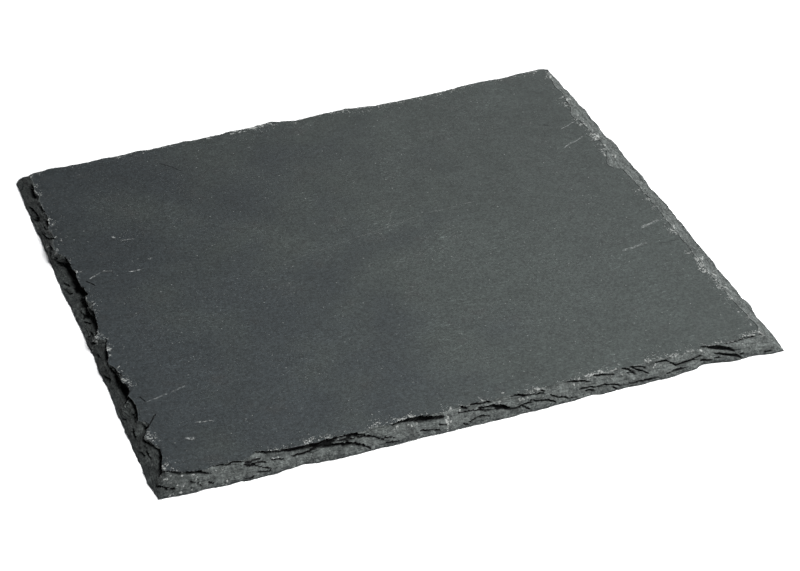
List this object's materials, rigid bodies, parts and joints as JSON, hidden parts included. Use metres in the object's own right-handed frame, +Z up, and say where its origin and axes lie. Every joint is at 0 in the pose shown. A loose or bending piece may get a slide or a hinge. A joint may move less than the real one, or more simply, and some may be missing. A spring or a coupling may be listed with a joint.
{
  "type": "slate plate",
  "caption": "Rectangular slab of dark natural slate with flat faces and a hand-chipped, stepped rim, for serving food or standing things on.",
  "frame": {"origin": "middle of the flat underside", "axes": "+Z up out of the serving face, +X to the right along the front edge, +Y from the front edge to the back edge"},
  "size_m": [0.3016, 0.272, 0.006],
  "materials": {
    "slate": "matt natural cleft with pale crushed specks along the chipped edges"
  },
  "bodies": {
    "root": {"slate_plate": "slate"}
  },
  "joints": []
}
